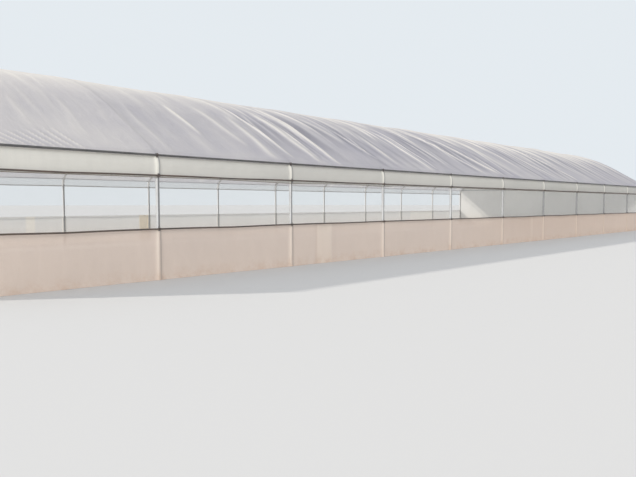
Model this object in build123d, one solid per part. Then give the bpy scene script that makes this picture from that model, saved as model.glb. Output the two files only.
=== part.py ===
"""A polytunnel greenhouse: steel hoops in ten bays, film roof, netted side bands and film ends.

X runs along the tunnel, Y across it and Z up, in millimetres. The origin is on the ground, at
the middle of the plan. The near side is at -Y, and the entrance end is at -X.
"""

import os
from math import cos, radians, sin

from build123d import *

# Plan and hoops
bay_length = 3000
bay_count = 10
leg_spacing = 10200
leg_height = 1850
knee_radius = 300
haunch_slope = 31
crown_radius = 7000
hoop_tube = 60.3
hoop_wall = 2
swage_length = 120
swage_play = 0.4
tube_sides = 8
crown_runs = 6

# Rails along the sides: the skirt's by its height, the curtain's by its drop below the tops of
# the legs, less on the far side, and the eave's by its angle up the knee
skirt_rail_height = 835
skirt_rail_tube = 26.9
near_curtain_rail_drop = 150
far_curtain_rail_drop = 45
curtain_rail_tube = 26.9
eave_rail_angle = 30.8
eave_rail_tube = 33.7

# Saddle clips that hold the side rails to the hoops
clip_width = 30
clip_thickness = 3
clip_foot = 18

# Purlins under the hoops, and the plates that hang them there
purlin_tube = 42.4
side_purlin_angle = 29
plate_width = 100
plate_thickness = 5
plate_lap = 24
plate_edge = 14

# Sheets of film and net, and the lap where two lengths of skirt film meet
sheet_thickness = 4
lap_start = -8230
lap_width = 470
lap_thickness = 3

# Ends and the entrance
end_tube = 42.4
door_post_spacing = 2500
gable_stud_spacing = 3400
leaf_tube = 30
leaf_gap = 6
leaf_ground_gap = 25
leaf_waist_height = 950
leaf_sheet_thickness = 3
hinge_barrel = 18
hinge_length = 90
hinge_wing = 42
hinge_leaf = 3
hinge_inset = 260
bolt_diameter = 16
bolt_length = 420
bolt_height = 1100

# The gap that is left where one piece seats on another
seat_gap = 0.3

# Worked out from the sizes above
slope = radians(haunch_slope)
half_span = leg_spacing / 2
half_length = bay_length * bay_count / 2
knee_y = half_span - knee_radius
tube_face = hoop_tube / 2
haunch_run = knee_y + (knee_radius - crown_radius) * sin(slope)
haunch_rise = haunch_run * sin(slope) / cos(slope)
crown_z = leg_height + haunch_rise + (knee_radius - crown_radius) * cos(slope)
sheet_inside = tube_face + seat_gap
sheet_outside = sheet_inside + sheet_thickness
curtain_rail_heights = {
    "near": leg_height - near_curtain_rail_drop,
    "far": leg_height - far_curtain_rail_drop,
}
eave_rail_reach = knee_radius + sheet_outside + seat_gap + eave_rail_tube / 2
eave_height = leg_height + eave_rail_reach * sin(radians(eave_rail_angle))
end_sheet_inside = half_length + sheet_inside
end_sheet_outside = half_length + sheet_outside
skin_end = end_sheet_outside
hoop_places = [bay_length * i - half_length for i in range(bay_count + 1)]
SIDES = {"near": -1, "far": 1}

os.makedirs("parts", exist_ok=True)


def save(name, pieces):
    """Write one node, made of one solid or of several that don't touch."""
    pieces = pieces if isinstance(pieces, list) else [pieces]
    loose = [solid for piece in pieces for solid in piece.solids()]
    export_step(Compound(children=loose) if len(loose) > 1 else loose[0], f"parts/{name}.step")


def on_side(piece, side):
    """A piece drawn on the far side, turned over to the near side where that is asked for."""
    return piece if side > 0 else mirror(piece, about=Plane.XZ)


def bend(centre_y, centre_z, radius, angles):
    """Corners, as Y and Z, of the straight runs that touch an arc at each of these angles."""
    corners = []
    for low, high in zip(angles, angles[1:]):
        middle = radians(low + high) / 2
        reach = radius / cos(radians(high - low) / 2)
        corners.append((centre_y + reach * cos(middle), centre_z + reach * sin(middle)))
    return corners


def hoop_corners(out):
    """Corners of the hoops' line, this far outside their centre, from the far leg to the ridge.

    Knee and crown are drawn in short straight runs, so that what repeats stays light. One run
    lies under the eave rail's clip, and one over each purlin.
    """
    turn = 90 - haunch_slope
    knee_angles = [0, eave_rail_angle / 2, eave_rail_angle, (eave_rail_angle + turn) / 2, turn]
    step = side_purlin_angle / crown_runs
    crown_angles = [turn] + [90 - step * i for i in range(crown_runs, -1, -1)]
    knee = bend(knee_y, leg_height, knee_radius + out, knee_angles)
    return knee + bend(0, crown_z, crown_radius + out, crown_angles)


def space_under(out, start, end):
    """All that lies under a line this far outside the hoops' centre line, along the tunnel.

    In the section, local X is the tunnel's Y, and local Y is its Z.
    """
    far_half = [(half_span + out, 0)] + hoop_corners(out)
    near_half = [(-y, z) for y, z in reversed(far_half)]
    outline = make_face(Polyline(far_half + near_half, close=True))
    return Pos(X=start) * extrude(Plane.YZ * outline, end - start)


def layer(low, high, full=True):
    """A slab of space between two heights, to cut a sheet with, over both sides or the far one."""
    reach = 2 * leg_spacing
    size = (4 * half_length, reach if full else reach / 2, high - low)
    return Pos(0, 0 if full else reach / 4, (low + high) / 2) * Box(*size)


def bar(start, end, tube, wall=0):
    """A straight tube, or a solid bar if it has no wall, with a flat side towards each axis."""
    axis = Vector(*end) - Vector(*start)
    side = Vector(1, 0, 0) if abs(axis.X) < abs(axis.Z) + abs(axis.Y) else Vector(0, 1, 0)
    section = octagon(tube) - octagon(tube - 2 * wall) if wall else octagon(tube)
    return extrude(Plane(start, x_dir=side, z_dir=axis) * section, axis.length)


def octagon(across):
    """The section of a tube, drawn with flats so that what repeats stays light."""
    return RegularPolygon(across / 2, tube_sides, major_radius=False, rotation=180 / tube_sides)


# Legs: plain lengths of tube, open at the top for the bows
leg = bar((0, half_span, 0), (0, half_span, leg_height), hoop_tube, hoop_wall)
for name, side in SIDES.items():
    save(f"{name}_legs", [Pos(X=x) * on_side(leg, side) for x in hoop_places])

# Bows: each half hoop is one bent tube, swaged at its foot to slot into the leg
swage = hoop_tube - 2 * hoop_wall - 2 * swage_play
bow_foot = (0, half_span, leg_height)
bow_head = (0, seat_gap, crown_z + crown_radius)
bow_line = Polyline([bow_foot] + [(0, y, z) for y, z in hoop_corners(0)] + [bow_head])
spring = Plane(bow_foot, x_dir=(1, 0, 0), z_dir=(0, 0, 1))
bent_tube = sweep(spring * octagon(hoop_tube), path=bow_line, transition=Transition.RIGHT)
bow = bar((0, half_span, leg_height - swage_length), bow_foot, swage) + bent_tube
for name, side in SIDES.items():
    save(f"{name}_bows", [Pos(X=x) * on_side(bow, side) for x in hoop_places])


def under_bow(angle, depth):
    """The place under the crown at an angle from the ridge, this far below the centre line."""
    reach = crown_radius - depth
    return Vector(0, reach * sin(radians(angle)), crown_z + reach * cos(radians(angle)))


# Purlins: one under the ridge and one under each haunch, tucked against the hoops
purlin_drop = tube_face + seat_gap + purlin_tube / 2
purlin_angles = {"ridge": 0, "near": -side_purlin_angle, "far": side_purlin_angle}
for name, angle in purlin_angles.items():
    place = under_bow(angle, purlin_drop)
    turned = Pos(*place) * Rot(X=-angle)
    purlin = extrude(Plane.YZ * octagon(purlin_tube), half_length + tube_face, both=True)
    save(f"{name}_purlin", turned * purlin)

# Plates: one beside each crossing, lapped on the hoop and threaded by the purlin
plate_top = plate_lap - tube_face
plate_bottom = -(tube_face + seat_gap + purlin_tube + plate_edge)
plates = []
for x in hoop_places:
    inward = -1 if x > 0 else 1
    for angle in purlin_angles.values():
        blank = Pos(0, (plate_top + plate_bottom) / 2) * Rectangle(plate_width, plate_top - plate_bottom)
        blank -= Pos(0, -purlin_drop) * octagon(purlin_tube + 2 * seat_gap)
        face = x + inward * (tube_face + seat_gap)
        plate = extrude(Plane.YZ * blank, plate_thickness * inward)
        plates.append(Pos(X=face) * Pos(*under_bow(angle, 0)) * Rot(X=-angle) * plate)
save("purlin_plates", plates)

def beside_sheet(height, angle, out):
    """A frame on the sheet's face, on the leg at a height or up the knee by an angle."""
    if not angle:
        return Pos(0, half_span + sheet_outside + out, height)
    return Pos(0, knee_y, height) * Rot(X=angle) * Pos(0, knee_radius + sheet_outside + out, 0)


# Side rails: on the outside of the sheets, two of them upright over the legs, with their clips
for name, side in SIDES.items():
    rails = {
        "skirt": (skirt_rail_height, skirt_rail_tube, 0),
        "curtain": (curtain_rail_heights[name], curtain_rail_tube, 0),
        "eave": (leg_height, eave_rail_tube, eave_rail_angle),
    }
    clips = []
    for rail, (height, tube, angle) in rails.items():
        seat = seat_gap + tube / 2
        length = extrude(Plane.YZ * octagon(tube), skin_end, both=True)
        save(f"{name}_{rail}_rail", on_side(beside_sheet(height, angle, seat) * length, side))
        inside = tube + 2 * seat_gap
        around = inside + 2 * clip_thickness
        crest = inside + clip_thickness
        hat = Pos((seat_gap + crest) / 2) * Rectangle(crest - seat_gap, around)
        hat += Pos(seat_gap + clip_thickness / 2) * Rectangle(clip_thickness, around + 2 * clip_foot)
        hat -= Pos(inside / 2) * Rectangle(inside, inside)
        clip = extrude(Plane.YZ * hat, clip_width / 2, both=True)
        clips.append(beside_sheet(height, angle, 0) * clip)
    save(f"{name}_rail_clips", [Pos(X=x) * on_side(clip, side) for x in hoop_places for clip in clips])

# Sheets: one skin over the hoops, parted at the rails into skirt, net, upper band and roof
skin = space_under(sheet_outside, -skin_end, skin_end) - space_under(sheet_inside, -skin_end, skin_end)
for name, side in SIDES.items():
    bands = {
        "skirt_film": (0, skirt_rail_height),
        "insect_net": (skirt_rail_height, curtain_rail_heights[name]),
        "upper_film": (curtain_rail_heights[name], eave_height),
    }
    for band, (low, high) in bands.items():
        save(f"{name}_{band}", on_side(skin & layer(low, high - seat_gap, full=False), side))
save("roof_film", skin & layer(eave_height, 2 * (crown_z + crown_radius)))

# A lap of spare film lies on the near skirt, where one length of it ends on the next
lap_height = skirt_rail_height - skirt_rail_tube
lap_y = half_span + sheet_outside + seat_gap + lap_thickness / 2
lap = Pos(lap_start + lap_width / 2, -lap_y, lap_height / 2) * Box(lap_width, lap_thickness, lap_height)
save("near_skirt_lap", lap)

# Ends: a tube across each end hoop at the eaves, with studs from it up to the bow
inside_hoop = space_under(-tube_face - seat_gap, -half_length - hoop_tube, half_length + hoop_tube)
end_rail = bar((0, -half_span, eave_height), (0, half_span, eave_height), end_tube)
stud_foot = eave_height + end_tube / 2 + seat_gap
stud_y = gable_stud_spacing / 2
stud = bar((0, stud_y, stud_foot), (0, stud_y, crown_z + crown_radius), end_tube)
far_end = Pos(X=half_length)
save("right_end_rail", (far_end * end_rail) & inside_hoop)
save("right_gable_studs", [on_side((far_end * stud) & inside_hoop, side) for side in SIDES.values()])

# The entrance end has posts from the ground to the bow, and the rail is cut between them
entrance = Pos(X=-half_length)
post_y = door_post_spacing / 2
post = entrance * bar((0, post_y, 0), (0, post_y, crown_z + crown_radius), end_tube) & inside_hoop
save("left_door_posts", [on_side(post, side) for side in SIDES.values()])
post_face = end_tube / 2 + seat_gap
beside = entrance * bar((0, post_y + post_face, eave_height), (0, half_span, eave_height), end_tube)
save("left_end_rails", [on_side(beside & inside_hoop, side) for side in SIDES.values()])
header_y = post_y - post_face
save("left_door_header", entrance * bar((0, -header_y, eave_height), (0, header_y, eave_height), end_tube))

# End sheets: film on the outside of the end hoops, parted round the doorway at the entrance
under_skin = sheet_inside - seat_gap
save("right_end_film", space_under(under_skin, end_sheet_inside, end_sheet_outside))
left_film = space_under(under_skin, -end_sheet_outside, -end_sheet_inside)
save("left_gable_film", left_film & layer(eave_height, 2 * (crown_z + crown_radius)))
wall_top = eave_height - seat_gap
beside_door = Pos(0, post_y + half_span, wall_top / 2) * Box(4 * half_length, 2 * half_span, wall_top)
for name, side in SIDES.items():
    save(f"left_end_film_{name}", on_side(left_film & beside_door, side))

# Door leaves: two square-tube frames between the posts, each with its film on the outside
leaf_top = eave_height - end_tube / 2 - leaf_gap
leaf_height = leaf_top - leaf_ground_gap
leaf_outer = post_y - end_tube / 2 - leaf_gap
leaf_width = leaf_outer - leaf_gap / 2
leaf_middle = Vector(0, leaf_outer - leaf_width / 2, leaf_ground_gap + leaf_height / 2)
opening = Rectangle(leaf_width - 2 * leaf_tube, leaf_height - 2 * leaf_tube)
waist = Pos(0, leaf_waist_height - leaf_middle.Z) * Rectangle(leaf_width - 2 * leaf_tube, leaf_tube)
leaf_face = Rectangle(leaf_width, leaf_height) - opening + waist
leaf = extrude(Plane.YZ * leaf_face, leaf_tube / 2, both=True)
leaf_sheet = extrude(Plane.YZ * Rectangle(leaf_width, leaf_height), -leaf_sheet_thickness)
leaf_sheet = Pos(X=-leaf_tube / 2 - seat_gap) * leaf_sheet
for name, side in SIDES.items():
    save(f"{name}_door_leaf", on_side(entrance * Pos(*leaf_middle) * leaf, side))
    save(f"{name}_door_film", on_side(entrance * Pos(*leaf_middle) * leaf_sheet, side))

# Door hinges on the inside: a barrel over the gap, with a wing on the post and one on the leaf
leaf_wing_x = leaf_tube / 2 + seat_gap + hinge_leaf / 2
post_wing_x = end_tube / 2 + seat_gap + hinge_leaf / 2
barrel_x = leaf_tube / 2 + seat_gap + hinge_barrel / 2
barrel_y = leaf_outer + leaf_gap / 2
wing = Box(hinge_leaf, hinge_wing, hinge_length)
hinge = Pos(barrel_x, barrel_y) * extrude(octagon(hinge_barrel), hinge_length)
hinge += Pos(leaf_wing_x, barrel_y - hinge_wing / 2, hinge_length / 2) * wing
hinge += Pos(post_wing_x, barrel_y + hinge_wing / 2, hinge_length / 2) * wing
hinge_heights = [leaf_ground_gap + hinge_inset, leaf_top - hinge_inset - hinge_length]
hinges = [entrance * Pos(Z=height) * hinge for height in hinge_heights]
save("door_hinges", [on_side(piece, side) for piece in hinges for side in SIDES.values()])
bolt_x = leaf_tube / 2 + seat_gap + bolt_diameter / 2
door_bolt = Pos(bolt_x, 0, bolt_height) * Rot(X=90) * Cylinder(bolt_diameter / 2, bolt_length)
save("door_bolt", entrance * door_bolt)
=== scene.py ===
"""The looks of a polytunnel greenhouse, put on its CAD frame: tubes, rails, film, net and doors.

X runs along the tunnel, Y across it and Z up, in metres. The near side is at -Y, and the
entrance end is at -X. The film is shaped on the line that the hoops give it.
"""

from math import ceil, cos, pi, radians, sin, tan

import bmesh
import bpy
import numpy as np
from mathutils import Matrix, Vector


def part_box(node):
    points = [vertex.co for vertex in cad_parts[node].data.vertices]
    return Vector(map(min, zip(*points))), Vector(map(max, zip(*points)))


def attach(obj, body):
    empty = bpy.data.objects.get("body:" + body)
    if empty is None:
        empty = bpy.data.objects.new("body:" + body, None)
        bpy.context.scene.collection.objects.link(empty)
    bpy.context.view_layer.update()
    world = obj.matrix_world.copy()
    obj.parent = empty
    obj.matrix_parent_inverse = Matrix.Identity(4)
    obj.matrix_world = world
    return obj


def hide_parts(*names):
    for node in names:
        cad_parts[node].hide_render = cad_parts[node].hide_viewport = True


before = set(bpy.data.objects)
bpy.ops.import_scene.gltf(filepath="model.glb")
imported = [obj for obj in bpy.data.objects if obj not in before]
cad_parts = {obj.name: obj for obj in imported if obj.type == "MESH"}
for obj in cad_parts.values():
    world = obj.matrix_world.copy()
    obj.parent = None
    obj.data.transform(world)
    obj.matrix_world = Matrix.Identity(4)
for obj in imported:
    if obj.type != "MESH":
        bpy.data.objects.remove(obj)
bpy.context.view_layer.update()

# Legs: 60 mm galvanised steel tube under both sides of every hoop, cut to one length. They stand
# in the ground, and their open tops take the swaged feet of the bows, held by one cross bolt.
bay_length = 3.0
hoop_tube = 0.0603
tube_wall = 0.002
leg_low, leg_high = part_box("far_legs")
leg_height = leg_high.z
half_span = (leg_low.y + leg_high.y) / 2
half_length = leg_high.x - hoop_tube / 2
bay_count = round(2 * half_length / bay_length)
hoop_places = [bay_length * i - half_length for i in range(bay_count + 1)]
new_zinc = {"bright": (0.88, 0.87, 0.85), "dull": (0.7, 0.69, 0.68)}
# Colour of the painted shade on the hoops' tubes and legs
painted_hoop_shade = (0.13, 0.13, 0.135)
soil_colour = (0.36, 0.17, 0.09)


def new_piece(name, add, **sizes):
    """A primitive added at its place, alone selected, with its place left in its mesh."""
    bpy.ops.object.select_all(action="DESELECT")
    add(**sizes)
    piece = bpy.context.object
    piece.name = piece.data.name = name
    bpy.ops.object.transform_apply(location=True, rotation=True, scale=True)
    return piece


def pick(kind, wanted):
    """In edit mode, selects only the faces or the edges that pass a test."""
    bpy.ops.mesh.select_mode(type=kind)
    bpy.ops.mesh.select_all(action="DESELECT")
    mesh = bpy.context.edit_object.data
    cage = bmesh.from_edit_mesh(mesh)
    for part in cage.faces if kind == "FACE" else cage.edges:
        part.select_set(bool(wanted(part)))
    bmesh.update_edit_mesh(mesh)


def clean_up():
    """Leaves edit mode with one closed skin that faces outwards, smooth where it is round."""
    bpy.ops.mesh.select_all(action="SELECT")
    bpy.ops.mesh.remove_doubles(threshold=0.00001)
    bpy.ops.mesh.normals_make_consistent(inside=False)
    bpy.ops.object.mode_set(mode="OBJECT")
    bpy.ops.object.shade_smooth_by_angle(angle=radians(40))


def tube_between(name, start, end, across, wall=tube_wall):
    """A round tube: a bar whose two ends are inset by the wall and joined through the inside."""
    axis = end - start
    tube = new_piece(
        name,
        bpy.ops.mesh.primitive_cylinder_add,
        vertices=24,
        radius=across / 2,
        depth=axis.length,
        location=(start + end) / 2,
        rotation=axis.to_track_quat("Z", "Y").to_euler(),
    )
    bpy.ops.object.mode_set(mode="EDIT")
    pick("FACE", lambda face: abs(face.normal.dot(axis)) > 0.9 * axis.length)
    bpy.ops.mesh.inset(thickness=wall)
    bpy.ops.mesh.bridge_edge_loops()
    clean_up()
    return tube


def repeat_in_bays(piece):
    """One copy of the piece at every hoop, from the first hoop on."""
    bays = piece.modifiers.new("bays", "ARRAY")
    bays.use_relative_offset = False
    bays.use_constant_offset = True
    bays.constant_offset_displace = (bay_length, 0, 0)
    bays.count = bay_count + 1
    bpy.ops.object.modifier_apply(modifier=bays.name)


def copy_of(piece, name, place):
    """A copy with its own mesh, moved, turned or turned over."""
    copy = piece.copy()
    copy.data = piece.data.copy()
    copy.name = copy.data.name = name
    copy.data.transform(place)
    bpy.context.collection.objects.link(copy)
    return copy


def other_side(piece, name):
    """A copy turned over from the far side to the near side."""
    twin = copy_of(piece, name, Matrix.Scale(-1, 4, (0, 1, 0)))
    twin.data.flip_normals()
    return twin


def node_maker(tree):
    """A function that adds a node to the tree, or feeds one that is there. Each input, given by
    its name or as _0 by its number, is a value or another node's output. Colours have no alpha."""

    def node(kind, settings=None, **inputs):
        made = tree.nodes.new("ShaderNode" + kind) if isinstance(kind, str) else kind
        for key, value in (settings or {}).items():
            setattr(made, key, value)
        for key, value in inputs.items():
            socket = made.inputs[int(key[1:]) if key[0] == "_" else key.replace("_", " ")]
            if isinstance(value, bpy.types.NodeSocket):
                tree.links.new(value, socket)
            else:
                socket.default_value = (*value, 1) if socket.type == "RGBA" else value
        return made

    return node


def new_finish(name):
    """An empty finish, its shader and its maker of nodes."""
    finish = bpy.data.materials.new(name)
    finish.use_nodes = True
    return finish, finish.node_tree.nodes["Principled BSDF"], node_maker(finish.node_tree)


def maths(node, operation, *values):
    """The outcome of one operation on values or outputs."""
    operands = {f"_{i}": value for i, value in enumerate(values)}
    return node("Math", {"operation": operation}, **operands).outputs[0]


def ramp(node, value, start, end, low, high):
    """Goes from low to high as the value goes from start to end, and no farther."""
    return node("MapRange", _0=value, _1=start, _2=end, _3=low, _4=high).outputs[0]


def spread(node, low, high, stretch=(1, 1, 1), **inputs):
    """Noise on the piece's own place, spread from one value to another."""
    place = node("TexCoord").outputs["Object"]
    stretched = node("Mapping", _0=place, Scale=stretch).outputs[0]
    noise = node("TexNoise", Vector=stretched, **inputs).outputs["Fac"]
    return ramp(node, noise, 0.3, 0.7, low, high)


def blend(node, factor, first, second):
    """A mix of two colours."""
    return node("Mix", {"data_type": "RGBA"}, _0=factor, _6=first, _7=second).outputs[2]


def zinc_finish(name, bright, dull, painted_shade=None):
    """Galvanised steel: pale grey zinc with crystals, dull patches and soil on the lowest part.

    With a colour of painted shade, the hoops' tubes get painted shade on the side away from the
    entrance, and the near legs past the middle of the tunnel get it all round."""
    finish, surface, node = new_finish(name)
    place = node("TexCoord").outputs["Object"]
    along, across, height = node("SeparateXYZ", _0=place).outputs
    crystals = node("TexVoronoi", Vector=place, Scale=70).outputs["Color"]
    grey = node("SeparateColor", _0=crystals).outputs[0]
    patches = spread(node, 0, 1, Scale=2.3, Detail=6, Roughness=0.65)
    dullness = maths(node, "MULTIPLY_ADD", patches, 0.6, maths(node, "MULTIPLY", grey, 0.5))
    zinc = blend(node, dullness, bright, dull)
    # Painted shade on the tubes' side away from the entrance, and all round the far near legs
    if painted_shade:
        off_hoop = maths(node, "WRAP", along, bay_length / 2, -bay_length / 2)
        shaded_far_side = ramp(node, off_hoop, -0.02, -0.004, 0, 0.95)
        farther = ramp(node, along, -1, 3, 0, 0.7)
        shaded_far_legs = maths(node, "MULTIPLY", farther, ramp(node, across, -4, -5, 0, 1))
        zinc = blend(node, maths(node, "MAXIMUM", shaded_far_side, shaded_far_legs), zinc, painted_shade)
    splash = ramp(node, height, 0.02, 0.3, 0.8, 0)
    soil = maths(node, "MULTIPLY", splash, spread(node, 0.2, 1, Scale=22, Detail=4))
    grain = spread(node, 0, 1, Scale=160, Detail=3)
    node(
        surface,
        Base_Color=blend(node, soil, zinc, soil_colour),
        Roughness=spread(node, 0.38, 0.6, Scale=9, Detail=5),
        Metallic=0.1,
        Normal=node("Bump", Strength=0.12, Distance=0.0006, Height=grain).outputs[0],
    )
    return finish


def dress(piece, finish):
    """The piece takes this finish in place of any other."""
    piece.data.materials.clear()
    piece.data.materials.append(finish)


def fit(piece, nodes, finish):
    """The piece takes its finish, stands for its CAD nodes and rides with the building."""
    dress(piece, finish)
    if nodes:
        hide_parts(*nodes)
    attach(piece, "root")


hoop_zinc = zinc_finish("hoop_zinc", **new_zinc, painted_shade=painted_hoop_shade)
far_foot = Vector((-half_length, half_span, 0))
far_top = Vector((-half_length, half_span, leg_height))
far_legs = tube_between("far_leg_tubes", far_foot, far_top, hoop_tube)
repeat_in_bays(far_legs)
near_legs = other_side(far_legs, "near_leg_tubes")
fit(far_legs, ["far_legs"], hoop_zinc)
fit(near_legs, ["near_legs"], hoop_zinc)

# Bows: the same tube bent to half a hoop, with a tight knee over the leg, a straight haunch and
# a wide crown. The foot is swaged to slip into the leg, and the two halves meet at the ridge.
knee_radius = 0.3
haunch_slope = radians(31)
crown_radius = 7.0
swage_length = 0.12
swage_share = 0.92
ridge_gap = 0.0003
knee_turn = pi / 2 - haunch_slope
knee_y = half_span - knee_radius
haunch_run = knee_y - (crown_radius - knee_radius) * sin(haunch_slope)
haunch_rise = haunch_run * tan(haunch_slope)
crown_z = leg_height + haunch_rise - (crown_radius - knee_radius) * cos(haunch_slope)


def draw_out(*way):
    """In edit mode, extrudes what is selected."""
    bpy.ops.mesh.extrude_region_move(TRANSFORM_OT_translate={"value": way})


add_ring = bpy.ops.mesh.primitive_circle_add
far_bows = new_piece("far_bow_tubes", add_ring, vertices=24, radius=hoop_tube / 2, location=far_top)
bpy.ops.object.mode_set(mode="EDIT")
knee_centre = (-half_length, knee_y, leg_height)
bpy.ops.mesh.spin(steps=10, angle=knee_turn, center=knee_centre, axis=(-1, 0, 0))
draw_out(0, -haunch_run, haunch_rise)
crown_turn = haunch_slope - ridge_gap / crown_radius
crown_centre = (-half_length, 0, crown_z)
bpy.ops.mesh.spin(steps=14, angle=crown_turn, center=crown_centre, axis=(-1, 0, 0))
bpy.ops.mesh.edge_face_add()
bpy.ops.mesh.inset(thickness=tube_wall)
draw_out(0, tube_wall, 0)
pick("EDGE", lambda edge: edge.is_boundary)
draw_out(0, 0, 0)
bpy.ops.transform.resize(value=(swage_share, swage_share, 1), center_override=far_top)
draw_out(0, 0, -swage_length)
bpy.ops.mesh.edge_face_add()
bpy.ops.mesh.inset(thickness=tube_wall)
clean_up()
repeat_in_bays(far_bows)
near_bows = other_side(far_bows, "near_bow_tubes")
fit(far_bows, ["far_bows"], zinc_finish("bow_zinc", **new_zinc))
fit(near_bows, ["near_bows"], hoop_zinc)

# Purlins: three lengths of 42 mm galvanised tube from end to end, one under the ridge and one
# under each haunch. They thread the plates that hang them from the hoops.
purlin_tube = 0.0424
purlin_zinc = zinc_finish("purlin_zinc", (0.62, 0.62, 0.61), (0.45, 0.45, 0.45))


def tube_for(node_name, way):
    """A 42 mm tube in the place of a CAD bar that runs along X, which is way 0, or Y, way 1."""
    low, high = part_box(node_name)
    start, end = (low + high) / 2, (low + high) / 2
    start[way], end[way] = low[way], high[way]
    tube = tube_between(f"{node_name}_tube", start, end, purlin_tube)
    fit(tube, [node_name], purlin_zinc)


for node_name in ("ridge_purlin", "near_purlin", "far_purlin"):
    tube_for(node_name, 0)

# Purlin plates: flat bar drilled for the purlin and lapped on each hoop, with two small bolts
# through the lap. The plates are the CAD pieces, and the bolts are set on them here.
plate_zinc = zinc_finish("plate_zinc", (0.5, 0.5, 0.5), (0.3, 0.31, 0.32))
side_purlin_angle = radians(29)
plate_bolt_depth = 0.018
plate_bolt_spread = 0.035
plate_thick = 0.005
seat_gap = 0.0003
plate_face = hoop_tube / 2 + seat_gap + plate_thick


def at(*place):
    """A move to a place."""
    return Matrix.Translation(place)


def turned(angle, axis):
    """A turn about an axis through the origin."""
    return Matrix.Rotation(angle, 4, axis)


def bolt_on_face(head, washer):
    """A head with a bevelled rim on its washer, at the origin and facing +X."""
    across, rise = head
    washer_across, washer_rise = washer
    add_disc = bpy.ops.mesh.primitive_cylinder_add
    bolt = new_piece("bolt", add_disc, vertices=16, radius=washer_across / 2, depth=washer_rise)
    bpy.ops.object.mode_set(mode="EDIT")
    pick("FACE", lambda face: face.normal.z > 0.9)
    bpy.ops.mesh.inset(thickness=(washer_across - across) / 2)
    draw_out(0, 0, rise)
    bpy.ops.mesh.inset(thickness=across * 0.08)
    bpy.ops.transform.translate(value=(0, 0, across * 0.05))
    bpy.ops.object.mode_set(mode="OBJECT")
    bolt.data.transform(turned(pi / 2, "Y") @ at(0, 0, washer_rise / 2))
    return bolt


def set_bolts(name, places, head, washer):
    """Bolts or screws at a list of places, joined as one. The head and the washer are each given
    as how wide they are and how far they rise."""
    bolt = bolt_on_face(head, washer)
    bolts = [copy_of(bolt, name, place) for place in places]
    bpy.data.objects.remove(bolt)
    bpy.ops.object.select_all(action="DESELECT")
    for bolt in bolts:
        bolt.select_set(True)
    bpy.context.view_layer.objects.active = bolts[0]
    bpy.ops.object.join()
    fit(bolts[0], [], plate_zinc)


plate_bolt_places = []
for x in hoop_places:
    inward = -1 if x > 0 else 1
    for angle in (0, side_purlin_angle, -side_purlin_angle):
        for along in (plate_bolt_spread, -plate_bolt_spread):
            on_plate = at(x + inward * plate_face, along, crown_radius - plate_bolt_depth)
            facing = turned(0 if inward > 0 else pi, "Z")
            plate_bolt_places.append(at(0, 0, crown_z) @ turned(-angle, "X") @ on_plate @ facing)
set_bolts("plate_bolts", plate_bolt_places, head=(0.013, 0.0055), washer=(0.018, 0.0012))
dress(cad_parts["purlin_plates"], plate_zinc)

# Joint bolts: one through each leg and the foot of the bow inside it, along the tunnel so that
# the film lies clear of it. Its head is on one side of the tube and its nut on the other.
joint_bolt_height = leg_height - 0.055
joint_places = []
for x in hoop_places:
    for y in (half_span, -half_span):
        for turn, side in ((0, 1), (pi, -1)):
            seat = at(x + side * hoop_tube / 2, y, joint_bolt_height)
            joint_places.append(seat @ turned(turn, "Z"))
set_bolts("joint_bolts", joint_places, head=(0.017, 0.008), washer=(0.024, 0.0018))

# Roof film: milky greenhouse film, a fifth of a millimetre thick, drawn over the hoops from eave
# to eave. It dips between the hoops, is slack lengthways and so folds along them, and turns
# down round the end hoops. Two lengths of it lap over the middle hoop.
film_out = 0.0325
eave_angle = radians(30.8)
hem = 0.06
film_lap = 0.06
lap_lift = 0.0025
crown_reach = crown_radius + film_out
knee_reach = knee_radius + film_out
crown_girth = crown_reach * haunch_slope
haunch_girth = haunch_run / cos(haunch_slope)
knee_girth = knee_reach * knee_turn
eave_girth = crown_girth + haunch_girth + knee_reach * (knee_turn - eave_angle)
leg_girth = crown_girth + haunch_girth + knee_girth
ground_girth = leg_girth + leg_height
turned_end = film_out * pi / 2
film_end = half_length + turned_end + hem
tube_line = hoop_tube / 2 + 0.0006 - film_out


def points_of(piece):
    """Where each point of a piece is."""
    points = np.zeros(len(piece.data.vertices) * 3)
    piece.data.vertices.foreach_get("co", points)
    return points.reshape(-1, 3)


def move_points(piece, points):
    """Puts each point of a piece in a new place."""
    piece.data.vertices.foreach_set("co", points.ravel())
    piece.data.update()


def flat_sheet(name, columns, rows):
    """A sheet of small squares to be shaped, and each point's place in it, both ways from 0 to 1."""
    add_grid = bpy.ops.mesh.primitive_grid_add
    sheet = new_piece(name, add_grid, x_subdivisions=columns, y_subdivisions=rows, size=1)
    bpy.ops.object.shade_smooth()
    u, v, _ = (points_of(sheet) + 0.5).T
    return sheet, u, v


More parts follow.
